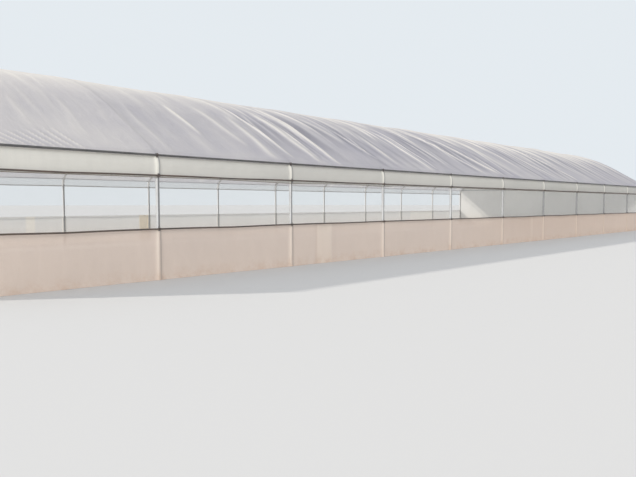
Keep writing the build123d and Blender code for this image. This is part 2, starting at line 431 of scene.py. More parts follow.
def on_hoops(along, girth, lift):
    """Points of a sheet on the hoops. along runs the tunnel's length and past its ends, where the
    sheet turns down round the end hoop. girth is the way down from the ridge, near side
    negative, and lift how far the sheet stands off its line, outwards."""
    run = np.abs(girth)
    past = np.abs(along) - half_length
    turn = np.clip(past, 0, turned_end) / film_out
    lift = lift - film_out * (1 - np.cos(turn)) - np.clip(past - turned_end, 0, None)
    x = np.sign(along) * (np.minimum(np.abs(along), half_length) + film_out * np.sin(turn))
    on_crown = np.clip(run, 0, crown_girth) / crown_reach
    on_haunch = np.clip(run - crown_girth, 0, haunch_girth)
    on_knee = np.clip(run - crown_girth - haunch_girth, 0, knee_girth) / knee_reach
    lean = on_crown + on_knee
    y = crown_reach * np.sin(on_crown) + on_haunch * cos(haunch_slope)
    y = y + np.where(on_knee > 0, knee_reach * (np.sin(lean) - sin(haunch_slope)), 0)
    z = crown_z + crown_reach * np.cos(on_crown) - on_haunch * sin(haunch_slope)
    z = z + np.where(on_knee > 0, knee_reach * (np.cos(lean) - cos(haunch_slope)), 0)
    z = z - np.clip(run - leg_girth, 0, None)
    y = np.sign(girth) * (y + lift * np.sin(lean))
    return np.stack([x, y, z + lift * np.cos(lean)], axis=-1)


def bell(offset, width):
    """1 at its middle, and falling off to nothing on both sides."""
    return np.exp(-((offset / width) ** 2))


def from_hoop(along):
    """How far each place is from its nearest hoop."""
    return np.abs(along - np.clip(np.round(along / bay_length) * bay_length, -half_length, half_length))


def dip(along, depth, press=0.006, width=0.07):
    """How far a drawn sheet falls back between the hoops, most of all close beside each one."""
    off = np.clip(from_hoop(along) / (bay_length / 2), 0, 1)
    return depth * (2 * off - off**2) + press * (1 - bell(off * bay_length / 2, width))


def over_tubes(along, lift):
    """Keeps a sheet off the hoops' tubes."""
    off = from_hoop(along)
    radius = hoop_tube / 2
    tube = np.sqrt(np.clip(radius**2 - off**2, 0, None)) - radius + tube_line
    return np.where(off < radius, np.maximum(lift, tube), lift)


def lying_over(shape, lap_end):
    """The shape of a length of film that lies over the one before it to just past their lap."""
    return lambda along, girth: shape(along, girth) + lap_lift * (along < lap_end + 0.1)


def closer_at_hoops(even, share):
    """Moves evenly spaced places along the tunnel towards the hoops."""
    return even - share * bay_length / (2 * pi) * np.sin(2 * pi * even / bay_length)


def film_sheet(name, reach, girths, steps, shape, share=0.8, pale=None):
    """A film or net on the hoops: a grid laid over them, then moved out or in by shape.

    reach is how far it goes along the tunnel. girths has the sheet's edges, and between them the
    places where its rows grow closer, with steps[1:] the distances between rows. share is how
    much closer its columns stand at the hoops. pale says how much paler, or below nothing how
    much darker, the film is."""
    columns = ceil((reach[1] - reach[0]) / steps[0])
    counts = [ceil(abs(high - low) / step) for low, high, step in zip(girths, girths[1:], steps[1:])]
    sheet, u, v = flat_sheet(name, columns, sum(counts))
    even = np.linspace(-half_length - 1, half_length + 1, 4001)
    first, last = np.interp(reach, closer_at_hoops(even, share), even)
    along = closer_at_hoops(first + u * (last - first), share)
    girth = np.interp(v * sum(counts), np.cumsum([0] + counts), girths)
    move_points(sheet, on_hoops(along, girth, over_tubes(along, shape(along, girth))))
    if pale:
        shade = sheet.data.attributes.new("pale", "FLOAT", "POINT")
        shade.data.foreach_set("value", pale(along, girth))
    return sheet


# Each fold of the near slope by its place along the tunnel at its top and foot, the girth where
# it starts and ends, how high it stands and how wide it is
near_folds = [
    (-10.6, -10.5, 3.2, 4.6, 0.016, 0.05),
    (-9.8, -9.65, 3.1, 4.9, 0.011, 0.07),
    (-9.15, -9.3, 3.3, 5.5, 0.014, 0.1),
    (-8.85, -8.7, 2.8, 5.3, 0.022, 0.05),
    (-8.15, -8.05, 3.0, 4.2, 0.016, 0.08),
    (-7.9, -7.8, 3.8, 4.8, 0.012, 0.05),
    (-7.45, -7.38, 2.1, 5.5, 0.03, 0.07),
    (-6.75, -6.6, 2.2, 3.9, 0.016, 0.06),
    (-6.5, -6.1, 2.5, 4.3, 0.014, 0.08),
    (-5.95, -5.6, 3.3, 5.0, 0.022, 0.05),
    (-4.85, -5.0, 3.4, 5.2, 0.012, 0.08),
    (-3.75, -3.68, 3.0, 5.4, 0.018, 0.05),
    (-3.45, -3.36, 2.7, 5.3, 0.026, 0.05),
    (-2.9, -2.75, 3.3, 5.0, 0.014, 0.04),
    (-2.6, -2.45, 3.3, 5.0, 0.012, 0.04),
    (-1.75, -0.85, 2.2, 5.3, 0.03, 0.07),
    (-0.8, 0.1, 2.8, 5.4, 0.03, 0.1),
    (0.4, 0.3, 3.9, 5.5, 0.02, 0.08),
    (1.15, 1.0, 3.8, 5.4, 0.016, 0.05),
    (2.3, 2.6, 2.6, 4.8, 0.016, 0.08),
    (3.6, 3.9, 2.4, 5.0, 0.016, 0.07),
    (4.2, 4.7, 4.0, 5.4, 0.02, 0.09),
    (5.4, 6.55, 2.6, 5.3, 0.032, 0.08),
    (7.6, 7.9, 2.6, 4.8, 0.014, 0.1),
    (9.4, 9.9, 2.8, 5.0, 0.014, 0.1),
]
fan_count = 9
fold_scale = 1.75
crest_height = 0.018
chance = np.random.default_rng(7)
small_folds = []
for side in (-1, 1):
    for _ in range(150):
        place = half_length * (1 - 2 * chance.random() ** 0.8)
        top = 1.6 + 2.2 * chance.random()
        foot_place = place + chance.normal(0, 0.12)
        foot = min(top + 0.8 + 1.8 * chance.random(), 5.45)
        height = (0.003 + 0.009 * chance.random()) * (1.3 if place > -9 else 0.3)
        width = 0.035 + 0.06 * chance.random()
        small_folds.append((side, place, foot_place, top, foot, height, width))
waves = [(chance.uniform(4, 14), chance.uniform(0.2, 1.2), chance.uniform(0, 2 * pi)) for _ in range(9)]


def crease(offset, width):
    """A fold's section: a sharp crest between two shallow troughs."""
    t = offset / width
    return 1 / (1 + t**2) - 0.45 / (1 + (t / 2.4) ** 2)


def along_fold(girth, start, end):
    """How strong a fold is on its way, from nothing at its two ends."""
    t = np.clip((girth - start) / (end - start), 0, 1)
    return np.sin(pi * t) ** 0.6


def add_fold(lift, along, girth, fold):
    """Adds one fold to the near side, where the girth is counted from the ridge down."""
    top_x, foot_x, start, end, height, width = fold
    where = np.where(np.abs((along - (top_x + foot_x) / 2)) < 1.2)[0]
    run = girth[where]
    line = top_x + (foot_x - top_x) * (run - start) / (end - start)
    wander = 0.012 * np.sin(run * 5.1 + top_x * 3) + 0.02 * np.sin(run * 2.3 + foot_x)
    section = crease(along[where] - line - wander, width)
    lift[where] += fold_scale * height * along_fold(run, start, end) * section


def held_at_eaves(girth):
    """How free the roof film is to fold: not at all under the eave rails, and fully above them."""
    to_eave = np.clip((eave_girth - np.abs(girth)) / 0.35, 0, 1)
    return to_eave * (2 - to_eave)


def roof_folds(along, girth):
    """The folds that the slack roof film makes, and a fan of short ones at the entrance end."""
    slack = np.zeros_like(along)
    for fold in near_folds:
        add_fold(slack, along, -girth, fold)
    for side, *fold in small_folds:
        add_fold(slack, along, side * girth, fold)
    for pitch, drift, phase in waves:
        ripple = np.sin(pitch * along + drift * girth * np.sin(along * 0.7) + phase)
        slack += 0.0011 * ripple * np.clip((along + 13) / 9, 0.1, 1)
    slack *= held_at_eaves(girth)
    for i in range(fan_count):
        fan = (-14.62 + 0.15 * i, -14.2 + 0.13 * i, 5.2 - 0.045 * i, 5.58, 0.011, 0.022)
        add_fold(slack, along, -girth, fan)
    return slack


def roof_shape(along, girth):
    """The roof film's dips and folds, and a loose blister of it by the ridge."""
    blister = bell(along - 9.9, 0.55) * bell(girth + 1.75, 0.28)
    sink = dip(along, 0.016, 0.002) * (0.25 + 0.75 * held_at_eaves(girth))
    return roof_folds(along, girth) - sink + 0.05 * blister


def painted_roof_light(along, girth):
    """Painted highlights along the crest of each sharp fold and over the crown, more so towards the far
    end, painted shade in the troughs beside the folds, painted light on the near slope towards the
    entrance, and broad paler patches."""
    # Painted light on the near slope towards the entrance
    lighter_towards_entrance = 0.4 * np.clip((-6.5 - along) / 7, 0, 1) * np.clip(0.5 - girth / 2, 0, 1)
    toward_far_end = np.clip((along + 2) / 8, 0, 1)
    # Painted highlight over the crown, stronger towards the far end
    crown_highlight = (0.75 + 0.2 * toward_far_end) * np.clip((3.9 + 0.5 * toward_far_end - np.abs(girth)) / 2.2, 0, 1) ** 1.6
    wide = 0.5 + 0.5 * np.sin(2.1 * along + 1.3 * np.sin(0.83 * along + 2) + 0.35 * girth)
    narrow = 0.5 + 0.5 * np.sin(6.7 * along + 1.6 * np.sin(1.9 * along) + 0.6 * girth)
    patches = 0.36 * wide**3 + 0.42 * narrow**3 - 0.2
    patches *= np.clip((along + 11) / 4, 0, 1) * np.clip((5.3 - np.abs(girth)) / 1.5, 0.25, 1)
    patches *= 1 + 0.35 * toward_far_end
    # Painted highlight on each fold's crest and painted shade in its troughs
    return np.clip(roof_folds(along, girth) / crest_height, -1, 1) + lighter_towards_entrance + crown_highlight + patches


def film_finish(name, fresh, worn, crest, trough, haze, wrinkle, through=None, grime=None, settled=0):
    """Greenhouse film: a milky skin that lets light through, finely creased across the bays.

    fresh and worn are its two shades, crest and trough the colours of the painted highlights and the
    painted shade that its pale attribute brings, haze the share of light that it lets through, and
    wrinkle how strong its creases are. Without a colour for the light through it, it is clear enough
    to see through. grime is splashed soil, and settled the share of it that lies all over the film
    towards the far end. With grime, the film also takes a warmer colour low down, dust and painted
    light bounced from the soil."""
    finish, surface, node = new_finish(name)
    cloud = spread(node, 0, 1, Scale=0.55, Detail=5, Roughness=0.6)
    shade = blend(node, cloud, fresh, worn)
    streak = spread(node, 0, 0.35, Scale=1, Detail=4, stretch=(7, 0.8, 0.8))
    pale = node("Attribute", {"attribute_name": "pale"}).outputs["Fac"]
    # pale brings painted highlights and painted shade, and the skirts' paler lengths
    on_crest = ramp(node, pale, 0.08, 0.9, 0, 1)
    in_trough = ramp(node, pale, -0.04, -0.5, 0, 0.8)
    creased = blend(node, in_trough, blend(node, on_crest, shade, crest), trough)
    dust_and_painted_light = blend(node, streak, creased, blend(node, 0.5, creased, worn))
    if grime:
        place = node("TexCoord").outputs["Object"]
        along, _, height = node("SeparateXYZ", _0=place).outputs
        dust_and_painted_light = blend(node, ramp(node, along, -4, 2, 0, settled), dust_and_painted_light, grime)
        # Dust and painted light bounced from the soil: a warmer colour low down
        low_dust_and_soil_glow = ramp(node, height, 0, 0.8, 0.45, 0)
        dust_and_painted_light = blend(node, low_dust_and_soil_glow, dust_and_painted_light, blend(node, 0.4, crest, grime))
        splash = ramp(node, height, 0.01, 0.22, 1, 0)
        speckle = spread(node, -0.35, 0.7, Scale=5, Detail=9, Roughness=0.75)
        dust_and_painted_light = blend(node, maths(node, "MULTIPLY", splash, speckle), dust_and_painted_light, grime)
    fine = spread(node, 0, 0.6, Scale=1, Detail=3, stretch=(6, 1.1, 1.1), Distortion=0.5)
    finer = spread(node, 0, 0.7, Scale=3.1, Detail=5, Distortion=1.4)
    both = maths(node, "ADD", fine, finer)
    bump = node("Bump", Strength=wrinkle, Distance=0.012, Height=both).outputs[0]
    gloss = spread(node, 0.62, 0.76, Scale=3, Detail=4)
    node(surface, Base_Color=dust_and_painted_light, Roughness=gloss, Specular_IOR_Level=0.2, Normal=bump)
    if not through:
        node(surface, Alpha=1 - haze)
        return finish
    glow = node("BsdfTranslucent", Normal=bump, Color=blend(node, 0.4, dust_and_painted_light, through))
    mix = node("MixShader", _0=haze, _1=surface.outputs[0], _2=glow.outputs[0])
    node(finish.node_tree.nodes["Material Output"], Surface=mix.outputs[0])
    return finish


# The roof's worn shade and trough colour are tinted lavender, a painted reflection of the sky
roof_milk = film_finish(
    "roof_milk",
    fresh=(0.7, 0.68, 0.69),
    worn=(0.53, 0.52, 0.58),
    crest=(1, 0.96, 0.9),
    trough=(0.29, 0.29, 0.35),
    through=(0.95, 0.93, 0.9),
    haze=0.4,
    wrinkle=0.35,
)
roof_edge = eave_girth + 0.012
roof_girths = (-roof_edge, -4.75, 5.35, roof_edge)
roof_steps = (0.021, 0.026, 0.16, 0.026)
halves = {"left": (-film_end, film_lap), "right": (-film_lap, film_end)}
for half, reach in halves.items():
    shape = roof_shape if half == "left" else lying_over(roof_shape, film_lap)
    roof = film_sheet(f"roof_film_{half}", reach, roof_girths, roof_steps, shape, 0.4, painted_roof_light)
    fit(roof, ["roof_film"], roof_milk)

# Upper film: a narrow band of the same film along both sides, from the eave rail down to the
# curtain rail. Its lower edge ends in a brown welded hem, which hangs below the rail in places.
sides = {"near": -1, "far": 1}
rail_drops = {"near": 0.15, "far": 0.045}
curtain_girths = {word: leg_girth + drop for word, drop in rail_drops.items()}
hem_tails = {"near": 0.03, "far": 0.016}
slack_bays = (-10.9, -5.4)
hem_sag = 0.028
upper_milk = {
    "near": film_finish(
        "upper_milk",
        fresh=(0.675, 0.655, 0.595),
        worn=(0.615, 0.6, 0.55),
        crest=(0.96, 0.93, 0.83),
        trough=(0.24, 0.24, 0.24),
        haze=0.1,
        wrinkle=0.3,
    ),
    "far": film_finish(
        "far_upper_milk",
        fresh=(0.8, 0.8, 0.78),
        worn=(0.72, 0.72, 0.71),
        crest=(0.85, 0.82, 0.76),
        trough=(0.45, 0.44, 0.42),
        haze=0.55,
        wrinkle=0.25,
    ),
}


def hem_drop(along, word):
    """How far the lower edge hangs below the rail, more where the near one has come slack."""
    into = np.clip((along - slack_bays[0]) / 0.6, 0, 1) * np.clip((slack_bays[1] - along) / 0.6, 0, 1)
    slack = into * (word == "near")
    return hem_tails[word] + slack * hem_sag * (0.65 + 0.35 * np.cos(along * 2.1))


def band_shape(along, girth, top, foot, depth):
    """A band held along its two edges: it falls back between the hoops, most at mid height."""
    run = np.abs(girth)
    inner = np.clip((run - top) / 0.12, 0, 1) * np.clip((foot - run) / 0.12, 0, 1)
    ripple = 0.0016 * np.sin(along * 9 + 2.3 * run) + 0.0012 * np.sin(along * 21 - 5 * run)
    return -dip(along, depth * (0.35 + 0.65 * inner), 0.026, 0.045) + ripple * inner


def tube_highlight_and_shade(along, pale, dark):
    """Painted light on film over each tube: a painted highlight on its entrance side, and a line of
    painted shade on its other side that is wider towards the far end of the tunnel."""
    off = along - np.round(along / bay_length) * bay_length
    line = 0.012 + 0.0012 * np.clip(along + 12, 0, 30)
    return pale * bell(off + 0.018, 0.027) - dark * bell(off - 0.02 - 1.2 * line, line)


def upper_pale(along, girth):
    """The upper film is paler towards the entrance, darker towards the far end, and has a painted
    highlight and painted shade over each hoop.
    """
    lighter_towards_entrance = 0.5 * np.clip((-8 - along) / 6, 0, 1) - 0.16 * np.clip((along + 4) / 8, 0, 1)
    # Painted highlight and painted shade over each hoop
    return lighter_towards_entrance + tube_highlight_and_shade(along, 0.8, 1.1)


for word, side in sides.items():
    for half, reach in halves.items():
        sheet = film_sheet(
            f"{word}_upper_film_{half}",
            reach,
            (side * (eave_girth - 0.01), side * curtain_girths[word]),
            (0.04, 0.04),
            lambda along, girth: band_shape(along, girth, eave_girth, curtain_girths[word], 0.012),
            pale=upper_pale,
        )
        points = points_of(sheet)
        low = np.clip((leg_height - points[:, 2]) / rail_drops[word], 0, 1)
        points[:, 2] -= low * hem_drop(points[:, 0], word)
        points[:, 1] -= side * low * 0.004
        move_points(sheet, points)
        fit(sheet, [f"{word}_upper_film"], upper_milk[word])

# The hem is the film's lower edge, folded twice and welded round a thin cord, brown with soil.
hem_across = 0.011
hem_out = film_out + 0.006
soiled_hem = film_finish(
    "soiled_hem",
    fresh=(0.16, 0.11, 0.08),
    worn=(0.25, 0.2, 0.16),
    crest=(0.3, 0.25, 0.2),
    trough=(0.12, 0.08, 0.06),
    through=(0.3, 0.2, 0.15),
    haze=0.05,
    wrinkle=0.5,
)


def start_bar(name, across, place, turn, points_round=16):
    """A disc in edit mode, to be drawn out to a bar."""
    disc = {"vertices": points_round, "radius": across / 2, "fill_type": "NGON"}
    bar = new_piece(name, add_ring, location=place, rotation=turn, **disc)
    bpy.ops.object.mode_set(mode="EDIT")
    return bar


def tube_along(name, x, y, z, across, points_round=16, uneven=0):
    """A bar along the tunnel, drawn from one disc, its rings then moved to follow the heights z.

    uneven is how much thicker and thinner it gets on its way."""
    tube = start_bar(name, across, (x[0], y, z[0]), (0, -pi / 2, 0), points_round)
    step = (x[-1] - x[0]) / (len(x) - 1)
    for _ in range(len(x) - 1):
        draw_out(step, 0, 0)
    clean_up()
    points = points_of(tube)
    ring = np.clip(np.round((points[:, 0] - x[0]) / step).astype(int), 0, len(x) - 1)
    swell = 1 + uneven * np.sin(31 * points[:, 0])
    points[:, 1] = y + swell * (points[:, 1] - y)
    points[:, 2] = z[ring] + swell * (points[:, 2] - z[0])
    move_points(tube, points)
    return tube


for word, side in sides.items():
    x = np.linspace(-half_length, half_length, 150)
    z = leg_height - rail_drops[word] - hem_drop(x, word)
    y = side * (half_span + hem_out)
    hem_cord = tube_along(f"{word}_curtain_hem", x, y, z, hem_across, uneven=0.3)
    fit(hem_cord, [], soiled_hem if word == "near" else upper_milk["far"])

# Insect net: fine white woven net in the open band between the curtain rail and the skirt rail,
# drawn flat from post to post. Its threads are far finer than a pixel, so it shows as a haze.
net_white, surface, node = new_finish("net_white")
threads = spread(node, 0, 1, Scale=1.2, Detail=6)
net_tone = blend(node, threads, (0.8, 0.82, 0.8), (0.66, 0.67, 0.64))
node(surface, Base_Color=net_tone, Roughness=0.8, Alpha=0.12)
skirt_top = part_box("near_skirt_film")[1].z
skirt_girth = leg_girth + leg_height - skirt_top
for word, side in sides.items():
    for half, reach in halves.items():
        net = film_sheet(
            f"{word}_net_{half}",
            reach,
            (side * curtain_girths[word], side * skirt_girth),
            (0.08, 0.06),
            lambda along, girth: band_shape(along, girth, curtain_girths[word], skirt_girth, 0.006) - 0.002,
        )
        fit(net, [f"{word}_insect_net"], net_white)

# Skirts: heavier cream film from the skirt rail to the ground, drawn over the legs and dusty low
# down. The near skirt's warm tint, strongest low down, is partly painted light bounced from the
# soil. Each side has two lengths that lap by almost half a metre, and the far one comes up over
# its rail.
skirt_laps = {"near": (-8.27, -7.8), "far": (-6.38, -5.95)}
skirt_cover = 0.02
skirt_tops = {"near": skirt_girth, "far": skirt_girth - skirt_cover}
skirt_nodes = {"near": ["near_skirt_film", "near_skirt_lap"], "far": ["far_skirt_film"]}
skirt_cream = {
    # The near skirt's warm tint is partly painted light bounced from the soil
    "near": film_finish(
        "skirt_cream",
        fresh=(0.8, 0.665, 0.57),
        worn=(0.75, 0.625, 0.54),
        crest=(0.99, 0.88, 0.76),
        trough=(0.3, 0.26, 0.24),
        haze=0.16,
        wrinkle=0.25,
        grime=(0.66, 0.45, 0.32),
        settled=0.32,
    ),
    "far": film_finish(
        "far_skirt_cream",
        fresh=(0.78, 0.76, 0.735),
        worn=(0.72, 0.7, 0.675),
        crest=(0.98, 0.9, 0.76),
        trough=(0.42, 0.36, 0.3),
        through=(0.88, 0.88, 0.88),
        haze=0.45,
        wrinkle=0.2,
        grime=(0.55, 0.34, 0.22),
    ),
}
# The paler lengths of each skirt, where it starts and ends and how pale it is: its lap, and where
# it has been mended or washed
paler_lengths = {
    "near": [(*skirt_laps["near"], 0.6), (2.0, 2.24, 0.35)],
    "far": [(-10.2, -9.9, 0.6), (*skirt_laps["far"], 1.2), (9.8, 11.9, 0.35)],
}


def skirt_shape(along, girth):
    """The skirt leans on the legs, falls back between them and spreads a little at the ground."""
    foot = ground_girth - np.abs(girth)
    ripple = 0.003 * np.sin(along * 3.1) + 0.0025 * np.sin(along * 7.7 + 1) + 0.0012 * np.sin(along * 17)
    spreading = np.exp(-foot / 0.05) * (0.008 + ripple)
    return band_shape(along, girth, skirt_girth, ground_girth + 0.2, 0.016) + spreading


def skirt_pale(along, lengths):
    """The skirt is paler over some lengths of it, and has a painted highlight and painted shade
    over each leg.
    """
    washed = sum(much * (along > low) * (along < high) for low, high, much in lengths)
    # Painted highlight and painted shade over each leg
    return washed + tube_highlight_and_shade(along, 0.7, 0.7)


for word, side in sides.items():
    lap_start, lap_end = skirt_laps[word]
    for half, reach in {"left": (-film_end, lap_end), "right": (lap_start, film_end)}.items():
        skirt = film_sheet(
            f"{word}_skirt_{half}",
            reach,
            (side * skirt_tops[word], side * ground_girth),
            (0.04, 0.05),
            skirt_shape if half == "left" else lying_over(skirt_shape, lap_end),
            pale=lambda along, girth: skirt_pale(along, paler_lengths[word]),
        )
        fit(skirt, skirt_nodes[word], skirt_cream[word])

# Side rails: steel tube along the outside of the film, painted dark and rusting, held to every
# hoop. The eave rail is straight, and the two thinner ones bend a little between the hoops.
rail_paint, surface, node = new_finish("rail_paint")
worn = spread(node, 0, 1, Scale=3, Detail=9, Roughness=0.7, stretch=(1, 3, 3))
flakes = spread(node, 0, 1, Scale=90, Detail=5)
node(
    surface,
    Base_Color=blend(node, worn, (0.065, 0.058, 0.055), (0.15, 0.105, 0.08)),
    Roughness=spread(node, 0.4, 0.75, Scale=12, Detail=5),
    Normal=node("Bump", Strength=0.3, Distance=0.001, Height=flakes).outputs[0],
)

eave_paint, surface, node = new_finish("eave_paint")
faded = spread(node, 0, 1, Scale=4, Detail=8, Roughness=0.7, stretch=(1, 3, 3))
grain = spread(node, 0, 1, Scale=120, Detail=4)
node(
    surface,
    Base_Color=blend(node, faded, (0.07, 0.07, 0.072), (0.15, 0.145, 0.14)),
    Roughness=spread(node, 0.35, 0.6, Scale=12, Detail=5),
    Normal=node("Bump", Strength=0.2, Distance=0.0008, Height=grain).outputs[0],
)

# Each rail's tube, how far it bends between the hoops, and its paint
rails = {
    "eave": (0.0337, 0, eave_paint),
    "curtain": (0.0269, 0.006, rail_paint),
    "skirt": (0.0269, 0.007, rail_paint),
}
for rail, (across, bend, paint) in rails.items():
    for word in sides:
        low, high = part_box(f"{word}_{rail}_rail")
        middle = (low + high) / 2
        x = np.linspace(low.x, high.x, 181)
        sag = bend * (1 - np.abs(np.cos(pi * x / bay_length))) * (1 + 0.6 * np.sin(x * 1.7))
        rail_tube = tube_along(f"{word}_{rail}_rail_tube", x, middle.y, middle.z - sag, across, 20)
        fit(rail_tube, [f"{word}_{rail}_rail"], paint)

# Rail clips: a strip of steel bent over each rail at every hoop, with a foot above and below.
# A self-drilling screw with a washer goes through each foot and the film into the hoop.
clip_strip = 0.003
clip_foot = 0.018
film_face = 0.03445
clip_face = film_face + seat_gap + clip_strip
screw_places = []
for x in hoop_places:
    for word, side in sides.items():
        rail_seats = {
            "skirt": (half_span, skirt_top, clip_face, 0),
            "curtain": (half_span, leg_height - rail_drops[word], clip_face, 0),
            "eave": (knee_y, leg_height, clip_face + knee_radius, eave_angle),
        }
        for rail, (y, z, reach, angle) in rail_seats.items():
            foot_away = rails[rail][0] / 2 + seat_gap + clip_strip + clip_foot / 2
            for away in (foot_away, -foot_away):
                on_foot = at(0, side * reach, away) @ turned(side * pi / 2, "Z")
                screw_places.append(at(x, side * y, z) @ turned(side * angle, "X") @ on_foot)
set_bolts("clip_screws", screw_places, head=(0.0095, 0.0045), washer=(0.014, 0.0012))
for word in sides:
    dress(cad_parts[f"{word}_rail_clips"], rail_paint)

# Ends: a tube across each end hoop at the eaves, with studs above it, or at the entrance two
# posts from the ground to the bow with a header between them. All are 42 mm galvanised tube.
end_tube = purlin_tube
for node_name in ("right_end_rail", "left_door_header"):
    tube_for(node_name, 1)
for node_name in ("right_gable_studs", "left_door_posts", "left_end_rails"):
    dress(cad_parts[node_name], purlin_zinc)

# End films: the same milky film over the outside of each end hoop, under the turned-down ends of
# the roof film. It is drawn over the end tubes and falls back a little between them.
end_soil = {"trough": (0.42, 0.41, 0.4), "grime": (0.42, 0.24, 0.14)}
# The entrance end takes a darker copy of the film: painted shade
end_milk = film_finish(
    "end_milk",
    fresh=(0.58, 0.57, 0.55),
    worn=(0.5, 0.49, 0.47),
    crest=(0.72, 0.68, 0.62),
    through=(0.8, 0.78, 0.74),
    haze=0.35,
    wrinkle=0.25,
    **end_soil,
)
# The right end takes a paler copy of the same film: painted light
right_end_milk = film_finish(
    "right_end_milk",
    fresh=(0.84, 0.82, 0.78),
    worn=(0.74, 0.72, 0.69),
    crest=(0.85, 0.8, 0.72),
    through=(0.9, 0.88, 0.84),
    haze=0.35,
    wrinkle=0.25,
    **end_soil,
)
end_inset = 0.028
rim_crown = crown_reach - end_inset
rim_knee = knee_reach - end_inset
rim_y = knee_y + rim_knee
end_rail_height = sum(corner.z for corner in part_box("right_end_rail")) / 2
stud_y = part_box("right_gable_studs")[1].y - end_tube / 2
post_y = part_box("left_door_posts")[1].y - end_tube / 2
ground_gap = 0.004


def hoop_top(y):
    """How high the end film reaches at a place across the tunnel."""
    run = np.abs(y)
    crown = crown_z + np.sqrt(np.clip(rim_crown**2 - run**2, 0, None))
    haunch_y = rim_crown * sin(haunch_slope)
    haunch = crown_z + rim_crown * cos(haunch_slope) - (run - haunch_y) * tan(haunch_slope)
    knee = leg_height + np.sqrt(np.clip(rim_knee**2 - (run - knee_y) ** 2, 0, None))
    knee_start = knee_y + rim_knee * sin(haunch_slope)
    return np.where(run < haunch_y, crown, np.where(run < knee_start, haunch, knee))


def end_sheet(name, end, y_range, z_range, uprights, phase, over=0):
    """A flat film on an end hoop, cut to the hoop's line and drawn over the tubes behind it.

    end is 1 at the right end and -1 at the entrance. uprights has the place, foot and top of each
    upright tube. over is how much farther out the film lies where it laps over another."""
    columns = ceil((y_range[1] - y_range[0]) / 0.045)
    rows = ceil((z_range[1] - z_range[0]) / 0.05)
    sheet, u, v = flat_sheet(name, columns, rows)

    def closer_at_rim(y):
        return 0.7 * y + 0.3 * rim_y * np.sin(y / rim_y * pi / 2)

    even = y_range[0] + u * (y_range[1] - y_range[0])
    y = np.interp(closer_at_rim(even), [closer_at_rim(edge) for edge in y_range], y_range)
    z = z_range[0] + v * (np.minimum(z_range[1], hoop_top(y)) - z_range[0])
    from_rim = np.minimum(hoop_top(y) - z, rim_y - np.abs(y))
    near_rim = bell(np.clip(from_rim, 0, None), 0.09)
    support = bell(z - end_rail_height, 0.09)
    for place, foot, top in uprights:
        beside = bell(np.clip(np.abs(y - place) - 0.04, 0, None), 0.06)
        support = np.maximum(support, beside * (z > foot) * (z < top))
    slack = 0.014 + 0.005 * np.sin(3.1 * y + phase) * np.sin(2.2 * z)
    folds = 0.003 * np.sin(9 * y + 2.5 * z + phase) + 0.002 * np.sin(19 * y - 4 * z + phase)
    on_tubes = end_tube / 2 + 0.0022 - (slack - folds * np.clip(z, 0, 1)) * (1 - support)
    on_hoop = hoop_tube / 2 + 0.0008
    out = on_hoop * near_rim + on_tubes * (1 - near_rim) + over
    move_points(sheet, np.stack([end * (half_length + out), end * y, z], axis=-1))
    return sheet


ridge_top = float(hoop_top(0.0))
studs = [(y, end_rail_height, ridge_top) for y in (-stud_y, stud_y)]
posts = [(y, 0, ridge_top) for y in (-post_y, post_y)]
right_end = end_sheet("right_end_sheet", 1, (-rim_y, rim_y), (ground_gap, ridge_top), studs, 0.4)
fit(right_end, ["right_end_film"], right_end_milk)
gable_foot = end_rail_height - end_tube / 2
gable_y = knee_y + float(np.sqrt(rim_knee**2 - (gable_foot - leg_height) ** 2))
gable = end_sheet(
    "left_gable_sheet", -1, (-gable_y, gable_y), (gable_foot, ridge_top), posts, 1.9, over=0.0008
)
fit(gable, ["left_gable_film"], end_milk)
wall_foot_y = post_y - end_tube / 2 + 0.004
wall_top = end_rail_height - 0.003
walls = {"far": (-rim_y, -wall_foot_y, 2.7), "near": (wall_foot_y, rim_y, 4.2)}
for word, (low_y, high_y, phase) in walls.items():
    reach, heights = (low_y, high_y), (ground_gap, wall_top)
    wall = end_sheet(f"left_wall_{word}", -1, reach, heights, posts, phase)
    fit(wall, [f"left_end_film_{word}"], end_milk)
for word in sides:
    wall = bpy.data.objects[f"left_wall_{word}"]

# Door leaves: two frames of 30 mm square tube with a waist rail, welded at the corners and hung
# on the door posts. The film is stretched over the outside of each and screwed along its edges.
door_zinc = zinc_finish("door_zinc", (0.6, 0.6, 0.59), (0.4, 0.41, 0.42))
leaf_tube = 0.03
waist_height = 0.95
for word in sides:
    dress(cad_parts[f"{word}_door_leaf"], door_zinc)
    low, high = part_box(f"{word}_door_film")
    width, height = high.y - low.y, high.z - low.z
    door_film, u, v = flat_sheet(f"{word}_door_sheet", ceil(width / 0.02), ceil(height / 0.02))
    y = low.y + u * width
    z = low.z + v * height
    from_waist = np.abs(z - waist_height) + leaf_tube / 2
    from_frame = np.minimum.reduce([y - low.y, high.y - y, z - low.z, high.z - z, from_waist])
    free = 1 - bell(np.clip(from_frame - leaf_tube, 0, None), 0.05)
    slack = 0.007 + 0.003 * np.sin(4.1 * y + z) + 0.0016 * np.sin(17 * y + 9 * z) * np.sin(3 * z)
    move_points(door_film, np.stack([high.x - 0.0008 + slack * free, y, z], axis=-1))
    door_film.data.flip_normals()
    fit(door_film, [f"{word}_door_film"], end_milk)

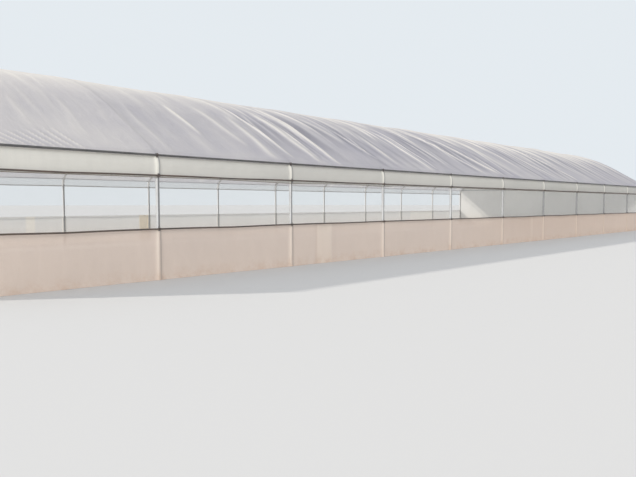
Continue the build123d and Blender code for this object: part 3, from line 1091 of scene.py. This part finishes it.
door_low, door_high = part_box("far_door_film")
screw_face = door_low.x - 0.0002
screw_heights = [door_low.z + 0.12 + 0.24 * i for i in range(8)]
screw_ways = [door_low.y + 0.22 + 0.26 * i for i in range(4)]
film_screws = []
for side in sides.values():
    for y in (door_low.y + leaf_tube / 2, door_high.y - leaf_tube / 2):
        film_screws += [at(screw_face, side * y, z) @ turned(pi, "Z") for z in screw_heights]
    for z in (door_low.z + leaf_tube / 2, waist_height, door_high.z - leaf_tube / 2):
        film_screws += [at(screw_face, side * y, z) @ turned(pi, "Z") for y in screw_ways]
set_bolts("door_film_screws", film_screws, head=(0.007, 0.0025), washer=(0.016, 0.001))

# Door hinges: a barrel with a wing on the post and one on the leaf, two to a leaf, on the inside.
# Three screws hold each wing.
dress(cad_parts["door_hinges"], plate_zinc)
hinge_low, hinge_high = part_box("door_hinges")
hinge_length = 0.09
hinge_wing = 0.042
hinge_strip = 0.003
wing_screws = (0.016, 0.045, 0.074)
barrel_y = hinge_high.y - hinge_wing
wing_face = hinge_strip + seat_gap - half_length
hinge_screws = []
for side in sides.values():
    for foot in (hinge_low.z, hinge_high.z - hinge_length):
        for up in wing_screws:
            for away, tube in ((-0.028, leaf_tube), (0.026, end_tube)):
                hinge_screws.append(at(wing_face + tube / 2, side * (barrel_y + away), foot + up))
set_bolts("hinge_screws", hinge_screws, head=(0.0075, 0.0022), washer=(0.009, 0.0008))

# Door bolt: a 16 mm round bar that slides across both leaves through a welded sleeve on each,
# with a bent handle. A pull bent from 9 mm bar is welded on the outside of each leaf.
bolt_low, bolt_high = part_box("door_bolt")
bolt_middle = (bolt_low + bolt_high) / 2
bolt_across = bolt_high.z - bolt_low.z
bar_across = 0.009
sleeve_wall = 0.003
sleeve_y = 0.003 + leaf_tube / 2
half_sleeve = Vector((0, 0.013, 0))
slide_bar = new_piece(
    "door_bolt_bar",
    bpy.ops.mesh.primitive_cylinder_add,
    vertices=24,
    radius=bolt_across / 2,
    depth=bolt_high.y - bolt_low.y,
    location=bolt_middle,
    rotation=(pi / 2, 0, 0),
)
tips = slide_bar.modifiers.new("tips", "BEVEL")
tips.width, tips.segments, tips.limit_method = 0.0025, 3, "ANGLE"
bpy.ops.object.modifier_apply(modifier=tips.name)
bpy.ops.object.shade_smooth_by_angle(angle=radians(40))
fit(slide_bar, ["door_bolt"], plate_zinc)
for word, side in sides.items():
    middle = Vector((bolt_middle.x, side * sleeve_y, bolt_middle.z))
    start, end = middle - half_sleeve, middle + half_sleeve
    sleeve = tube_between(f"{word}_bolt_sleeve", start, end, bolt_across + 0.007, sleeve_wall)
    fit(sleeve, [], plate_zinc)


def bent_bar(name, start, first, centre, turn, last):
    """A bar with one bend: a disc drawn straight, spun round a centre and drawn straight."""
    bar = start_bar(name, bar_across, start, Vector(first).to_track_quat("Z", "Y").to_euler())
    draw_out(*first)
    bpy.ops.mesh.spin(steps=8, angle=turn, center=centre, axis=(0, 1, 0))
    draw_out(*last)
    clean_up()
    fit(bar, [], plate_zinc)


weld_depth = 0.002
handle_y = 0.13
handle_foot = bolt_middle.x + bolt_across / 2 - weld_depth
handle_reach = 0.02
handle_radius = 0.015
handle_drop = 0.055
bent_bar(
    "bolt_handle",
    start=(handle_foot, handle_y, bolt_middle.z),
    first=(handle_reach, 0, 0),
    centre=(handle_foot + handle_reach, handle_y, bolt_middle.z - handle_radius),
    turn=pi / 2,
    last=(0, 0, -handle_drop),
)
pull_foot = -half_length - leaf_tube / 2 + weld_depth
pull_height = 1.16
pull_reach = 0.03
pull_radius = 0.055
for word, side in sides.items():
    bent_bar(
        f"{word}_door_pull",
        start=(pull_foot, side * sleeve_y, pull_height),
        first=(-pull_reach, 0, 0),
        centre=(pull_foot - pull_reach, side * sleeve_y, pull_height - pull_radius),
        turn=pi,
        last=(pull_reach, 0, 0),
    )

# Floor: a wide pale floor, which isn't part of the greenhouse.
floor_paint, surface, node = new_finish("floor_paint")
node(surface, Base_Color=(0.62, 0.62, 0.61), Roughness=0.95, Specular_IOR_Level=0.1)
floor = new_piece("floor", bpy.ops.mesh.primitive_plane_add, size=900, location=(0, 0, -0.002))
dress(floor, floor_paint)

# Light: one lamp low behind the far side, as in the photograph, a weaker and softer one from the
# left in front, and an even pale surround.
scene = bpy.context.scene
scene.view_settings.view_transform = "Standard"


def far_lamp(name, toward, strength, softness, colour):
    """A lamp so far off that its light is even all along the tunnel."""
    data = bpy.data.lights.new(name, "SUN")
    data.energy, data.angle, data.color = strength, softness, colour
    lamp = bpy.data.objects.new(name, data)
    lamp.rotation_euler = Vector(toward).to_track_quat("Z", "Y").to_euler()
    scene.collection.objects.link(lamp)


far_lamp("behind", (-0.74, 0.53, 0.42), 2.55, radians(2), (1, 0.95, 0.88))
far_lamp("in_front", (-0.9, -0.34, 0.27), 1.2, radians(12), (1, 0.99, 0.97))
world = bpy.data.worlds.new("surround")
scene.world = world
world.use_nodes = True
sky = world.node_tree
node = node_maker(sky)
even = node(sky.nodes["Background"], Color=(0.93, 0.95, 1), Strength=0.85)
behind = node("Background", Color=(0.78, 0.83, 0.87))
rays = node("LightPath").outputs
seen = maths(node, "MAXIMUM", rays["Is Camera Ray"], rays["Is Glossy Ray"])
seen = maths(node, "MAXIMUM", seen, rays["Is Transmission Ray"])
surround = node("MixShader", _0=seen, _1=even.outputs[0], _2=behind.outputs[0])
node(sky.nodes["World Output"], Surface=surround.outputs[0])

# Camera: at the height of a hand-held camera, 8.7 m from the near posts, by the entrance end.
lens_data = bpy.data.cameras.new("camera")
lens_data.lens = 34.41
lens_data.sensor_width = 36
camera = bpy.data.objects.new("camera", lens_data)
camera.location = (-17.4, -13.77, 1.243)
camera.rotation_euler = (radians(90 - 3.27), 0, radians(43.34 - 90))
scene.collection.objects.link(camera)
scene.camera = camera
